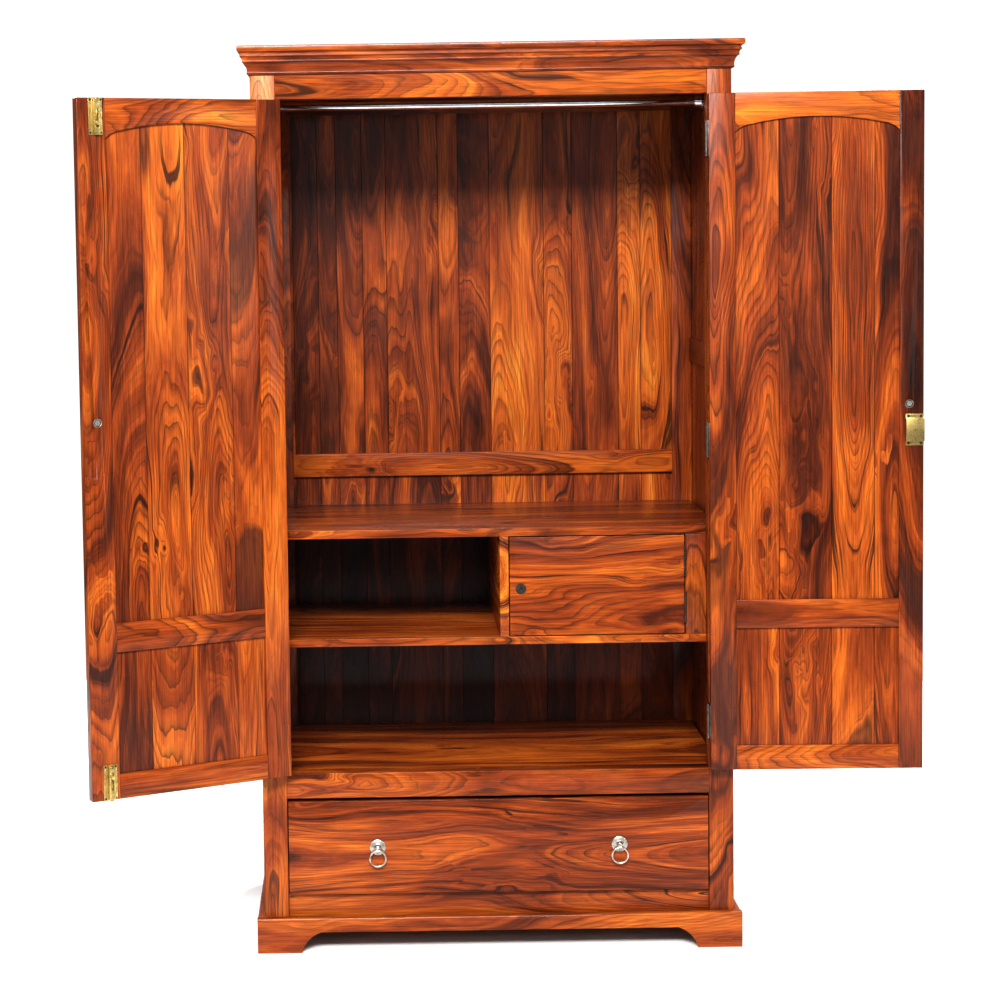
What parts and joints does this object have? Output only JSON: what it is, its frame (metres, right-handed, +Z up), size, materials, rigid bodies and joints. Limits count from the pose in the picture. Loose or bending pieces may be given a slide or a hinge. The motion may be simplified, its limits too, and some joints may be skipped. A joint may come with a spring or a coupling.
{
  "type": "armoire",
  "caption": "Wooden armoire with arched-panel doors over a hanging space, shelves and a small locker, with a drawer below, a crown moulding and bracket feet.",
  "frame": {"origin": "on the floor, at the middle of the back, where the armoire meets the wall", "axes": "+X to the right seen from the front, +Y towards the wall behind, +Z up"},
  "size_m": [1.6563, 0.6995, 1.829],
  "materials": {
    "case_wood": "glossy lacquered hardwood",
    "front_wood": "glossy lacquered hardwood",
    "brass": "polished",
    "aged_nickel": "aged, satin",
    "steel": "satin",
    "dark_iron": "dark satin",
    "chrome_rod": "polished"
  },
  "bodies": {
    "carcass": {"top_board": "case_wood", "crown_moulding": "case_wood", "left_front_stile": "case_wood", "right_front_stile": "case_wood", "rear_posts": "case_wood", "side_rails": "case_wood", "side_panels": "case_wood", "back_rails": "case_wood", "back_panels": "case_wood", "frieze_rail": "case_wood", "door_rail": "case_wood", "drawer_rail": "case_wood", "plinth_front": "case_wood", "plinth_sides": "case_wood", "plinth_back": "case_wood", "main_shelf": "case_wood", "lower_shelf": "case_wood", "floor_board": "case_wood", "locker_divider": "case_wood", "locker_stile": "case_wood", "locker_post_leaves": "dark_iron", "hanging_rod": "chrome_rod", "rod_sockets": "chrome_rod", "drawer_runners": "case_wood", "post_hinge_leaves": "steel"},
    "left_door": {"left_hinge_stile": "front_wood", "left_lock_stile": "front_wood", "left_top_rail": "front_wood", "left_mid_rail": "front_wood", "left_bottom_rail": "front_wood", "left_panels": "front_wood", "left_pull_plate": "aged_nickel", "left_hinge_leaves": "steel", "bolt_plates": "brass"},
    "right_door": {"right_hinge_stile": "front_wood", "right_lock_stile": "front_wood", "right_top_rail": "front_wood", "right_mid_rail": "front_wood", "right_bottom_rail": "front_wood", "right_panels": "front_wood", "right_pull_plate": "aged_nickel", "right_hinge_leaves": "steel", "lock_case": "brass"},
    "left_door_ring": {"left_pull_ring": "aged_nickel"},
    "right_door_ring": {"right_pull_ring": "aged_nickel"},
    "upper_bolt": {"top_bolt": "brass"},
    "lower_bolt": {"bottom_bolt": "brass"},
    "lock_key_plug": {"lock_plug": "steel"},
    "lock_slider": {"lock_bolt": "brass"},
    "drawer": {"drawer_front": "front_wood", "drawer_sides": "case_wood", "drawer_back": "case_wood", "drawer_bottom": "case_wood", "drawer_pull_plates": "aged_nickel"},
    "left_drawer_ring": {"drawer_left_ring": "aged_nickel"},
    "right_drawer_ring": {"drawer_right_ring": "aged_nickel"},
    "locker": {"locker_door": "front_wood", "locker_door_leaves": "dark_iron", "locker_lock": "steel"},
    "locker_cam_plug": {"locker_cam": "steel"}
  },
  "joints": [
    {"name": "left_door_hinge", "type": "hinge", "parent": "carcass", "child": "left_door", "pos_m": [-0.4265, -0.4855, 1.04525], "axis": [0, 0, -1], "range_deg": [-153.4, 26.6]},
    {"name": "right_door_hinge", "type": "hinge", "parent": "carcass", "child": "right_door", "pos_m": [0.4265, -0.4855, 1.04525], "axis": [0, 0, 1], "range_deg": [-179, 1]},
    {"name": "left_door_ring_swing", "type": "hinge", "parent": "left_door", "child": "left_door_ring", "pos_m": [-0.78439, -0.65745, 1.098], "axis": [0.8942, 0.4478, 0], "range_deg": [0, 85]},
    {"name": "right_door_ring_swing", "type": "hinge", "parent": "right_door", "child": "right_door_ring", "pos_m": [0.82355, -0.48593, 1.098], "axis": [0.9998, -0.0175, 0], "range_deg": [0, 85]},
    {"name": "upper_bolt_slide", "type": "slide", "parent": "left_door", "child": "upper_bolt", "axis": [0, 0, 1], "range_m": [0, 0.012]},
    {"name": "lower_bolt_slide", "type": "slide", "parent": "left_door", "child": "lower_bolt", "axis": [0, 0, -1], "range_m": [0, 0.012]},
    {"name": "lock_turn", "type": "hinge", "parent": "right_door", "child": "lock_key_plug", "pos_m": [0.83338, -0.4961, 1.0515], "axis": [-0.0175, -0.9998, 0], "range_deg": [0, 180]},
    {"name": "lock_slide", "type": "slide", "parent": "right_door", "child": "lock_slider", "axis": [0.9998, -0.0175, 0], "range_m": [0, 0.012]},
    {"name": "drawer_slide", "type": "slide", "parent": "carcass", "child": "drawer", "axis": [0, -1, 0], "range_m": [0, 0.34]},
    {"name": "left_drawer_ring_swing", "type": "hinge", "parent": "drawer", "child": "left_drawer_ring", "pos_m": [-0.2455, -0.492, 0.207], "axis": [-1, 0, 0], "range_deg": [0, 85]},
    {"name": "right_drawer_ring_swing", "type": "hinge", "parent": "drawer", "child": "right_drawer_ring", "pos_m": [0.2455, -0.492, 0.207], "axis": [-1, 0, 0], "range_deg": [0, 85]},
    {"name": "locker_hinge", "type": "hinge", "parent": "carcass", "child": "locker", "pos_m": [0.385, -0.455, 0.738], "axis": [0, 0, 1], "range_deg": [0, 105]},
    {"name": "locker_cam_turn", "type": "hinge", "parent": "locker", "child": "locker_cam_plug", "pos_m": [0.0525, -0.452, 0.733], "axis": [0, 1, 0], "range_deg": [0, 90]}
  ],
  "couplings": [
    {"joint": "lock_slide", "follows": "lock_turn", "m_per_rad": 0.0038}
  ]
}
